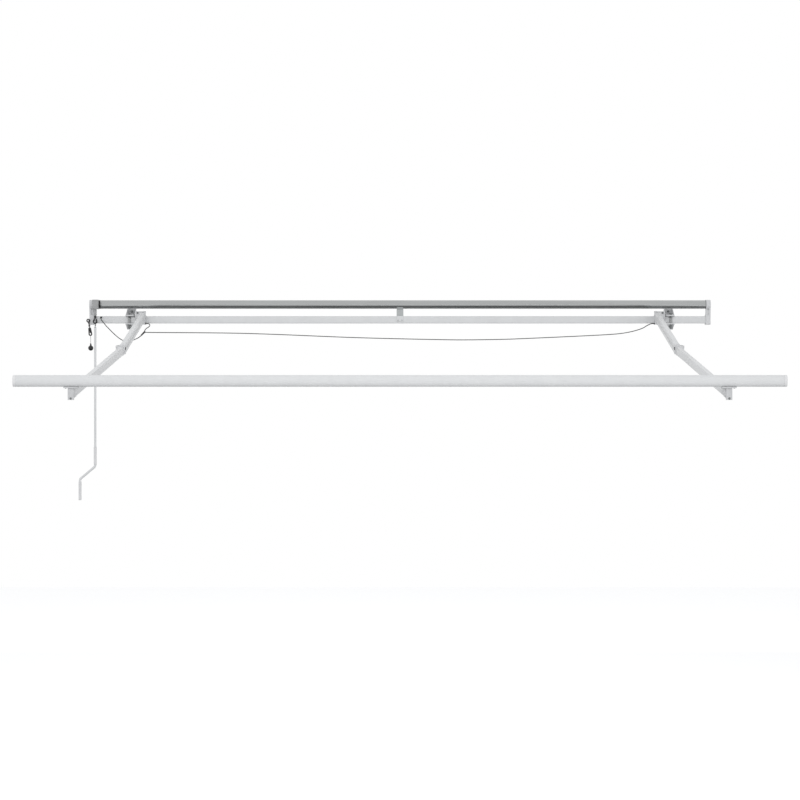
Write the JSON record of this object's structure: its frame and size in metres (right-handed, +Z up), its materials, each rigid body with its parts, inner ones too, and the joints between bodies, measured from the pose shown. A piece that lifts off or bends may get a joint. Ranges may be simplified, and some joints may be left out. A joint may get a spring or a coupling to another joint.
{
  "type": "folding arm awning frame",
  "caption": "Wall-mounted awning frame without its cloth: torsion bar, geared roller with a hand crank, hinged spring arms, front bar and a thin cable.",
  "frame": {"origin": "in the wall's plane, at the middle of the torsion bar and at its height", "axes": "+X along the bars to the picture's right, +Y into the wall, +Z up; the arms reach out along -Y"},
  "size_m": [3.5596, 2.5025, 1.1285],
  "materials": {
    "white_coated_aluminium": "white powder coat, satin",
    "white_coated_steel": "white powder coat, satin",
    "zinc_coated_steel": "zinc coated, bright",
    "bright_steel": "plain bright",
    "grey_cast_aluminium": "die cast, matt",
    "grey_plastic": "moulded, matt",
    "white_plastic": "moulded, satin",
    "black_plastic": "moulded, satin",
    "grey_cable_sheath": "smooth sheath",
    "bronze": "machined"
  },
  "bodies": {
    "wall_frame": {"torsion_bar": "white_coated_steel", "cable_grommet": "grey_plastic", "gear_housing": "grey_cast_aluminium", "roller_support": "grey_plastic", "wall_bracket_left": "white_coated_steel", "wall_bracket_right": "white_coated_steel", "bar_lock_bolt_left": "bright_steel", "bar_lock_bolt_right": "bright_steel", "end_bracket_left": "white_coated_aluminium", "end_bracket_right": "white_coated_aluminium", "shoulder_clamp_left": "white_coated_aluminium", "shoulder_clamp_right": "white_coated_aluminium", "cable_gland_left": "grey_plastic", "cable_gland_right": "grey_plastic", "supply_lead": "grey_cable_sheath", "cable_splitter": "black_plastic", "cable_branch_left": "grey_cable_sheath", "cable_run_right": "grey_cable_sheath"},
    "roller": {"roller_tube": "zinc_coated_steel", "roller_plug_left": "black_plastic", "roller_plug_right": "black_plastic", "worm_wheel": "bronze"},
    "crank": {"crank_worm": "bright_steel", "crank_eye": "black_plastic", "crank_hook": "bright_steel", "crank_rod": "white_coated_steel"},
    "upper_grip": {"grip_upper": "white_plastic"},
    "lower_grip": {"grip_lower": "white_plastic"},
    "pendant": {"pendant_ring": "black_plastic", "pendant_hook": "black_plastic", "pendant_cord": "grey_cable_sheath", "pendant_ball": "black_plastic"},
    "left_swivel": {"shoulder_swivel_left": "white_coated_aluminium", "shoulder_pin_left": "bright_steel"},
    "left_upper": {"shoulder_knuckle_left": "white_coated_aluminium", "upper_arm_left": "white_coated_aluminium", "light_strip_left": "white_plastic", "arm_spring_left": "bright_steel", "elbow_fork_left": "white_coated_aluminium", "elbow_pin_left": "bright_steel"},
    "left_fore": {"elbow_tongue_left": "white_coated_aluminium", "forearm_left": "white_coated_aluminium", "front_knuckle_left": "white_coated_aluminium"},
    "right_swivel": {"shoulder_swivel_right": "white_coated_aluminium", "shoulder_pin_right": "bright_steel"},
    "right_upper": {"shoulder_knuckle_right": "white_coated_aluminium", "upper_arm_right": "white_coated_aluminium", "light_strip_right": "white_plastic", "arm_spring_right": "bright_steel", "elbow_fork_right": "white_coated_aluminium", "elbow_pin_right": "bright_steel"},
    "right_fore": {"elbow_tongue_right": "white_coated_aluminium", "forearm_right": "white_coated_aluminium", "front_knuckle_right": "white_coated_aluminium"},
    "front": {"front_bar": "white_coated_aluminium", "front_cap_left": "white_plastic", "front_cap_right": "white_plastic", "front_bracket_left": "white_coated_aluminium", "front_bracket_right": "white_coated_aluminium"}
  },
  "joints": [
    {"name": "left_pitch", "type": "hinge", "parent": "wall_frame", "child": "left_swivel", "pos_m": [-1.463, -0.10471, 0.02261], "axis": [1, 0, 0], "range_deg": [-5, 20]},
    {"name": "right_pitch", "type": "hinge", "parent": "wall_frame", "child": "right_swivel", "pos_m": [1.463, -0.10471, 0.02261], "axis": [1, 0, 0], "range_deg": [-5, 20]},
    {"name": "left_shoulder", "type": "hinge", "parent": "left_swivel", "child": "left_upper", "pos_m": [-1.442, -0.145, 0.015], "axis": [0, -0.1857, 0.9826], "range_deg": [0, 85], "stiffness_Nm_per_rad": 8, "springref_deg": -28.65},
    {"name": "left_elbow", "type": "hinge", "parent": "left_upper", "child": "left_fore", "pos_m": [-1.43, -1.28084, -0.19962], "axis": [0, -0.1857, 0.9826], "range_deg": [-167.45, 0]},
    {"name": "front_pivot", "type": "hinge", "parent": "left_fore", "child": "front", "pos_m": [-1.488, -2.46155, -0.42272], "axis": [0, -0.1857, 0.9826], "range_deg": [0, 82.45]},
    {"name": "right_shoulder", "type": "hinge", "parent": "right_swivel", "child": "right_upper", "pos_m": [1.442, -0.145, 0.015], "axis": [0, -0.1857, 0.9826], "range_deg": [-85, 0], "stiffness_Nm_per_rad": 8, "springref_deg": 28.65},
    {"name": "right_elbow", "type": "hinge", "parent": "right_upper", "child": "right_fore", "pos_m": [1.43, -1.28084, -0.19962], "axis": [0, -0.1857, 0.9826], "range_deg": [0, 167.45]},
    {"name": "roller_spin", "type": "hinge", "parent": "wall_frame", "child": "roller", "pos_m": [0.014, -0.072, 0.086], "axis": [1, 0, 0], "continuous": true},
    {"name": "crank_spin", "type": "hinge", "parent": "wall_frame", "child": "crank", "pos_m": [-1.7152, -0.1015, 0], "axis": [0, 0, 1], "continuous": true},
    {"name": "upper_grip_spin", "type": "hinge", "parent": "crank", "child": "upper_grip", "pos_m": [-1.7152, -0.1015, -0.767], "axis": [0, 0, 1], "continuous": true},
    {"name": "lower_grip_spin", "type": "hinge", "parent": "crank", "child": "lower_grip", "pos_m": [-1.8005, -0.1015, -0.964], "axis": [0, 0, 1], "continuous": true},
    {"name": "pendant_swing", "type": "hinge", "parent": "wall_frame", "child": "pendant", "pos_m": [-1.7556, -0.093, -0.004], "axis": [0, 1, 0], "range_deg": [-1, 60]}
  ],
  "couplings": [
    {"joint": "right_pitch", "follows": "left_pitch", "ratio": 1},
    {"joint": "left_elbow", "follows": "left_shoulder", "ratio": -1.97},
    {"joint": "front_pivot", "follows": "left_shoulder", "ratio": 0.97},
    {"joint": "right_shoulder", "follows": "left_shoulder", "ratio": -1},
    {"joint": "right_elbow", "follows": "left_shoulder", "ratio": 1.97},
    {"joint": "crank_spin", "follows": "roller_spin", "ratio": 11}
  ]
}
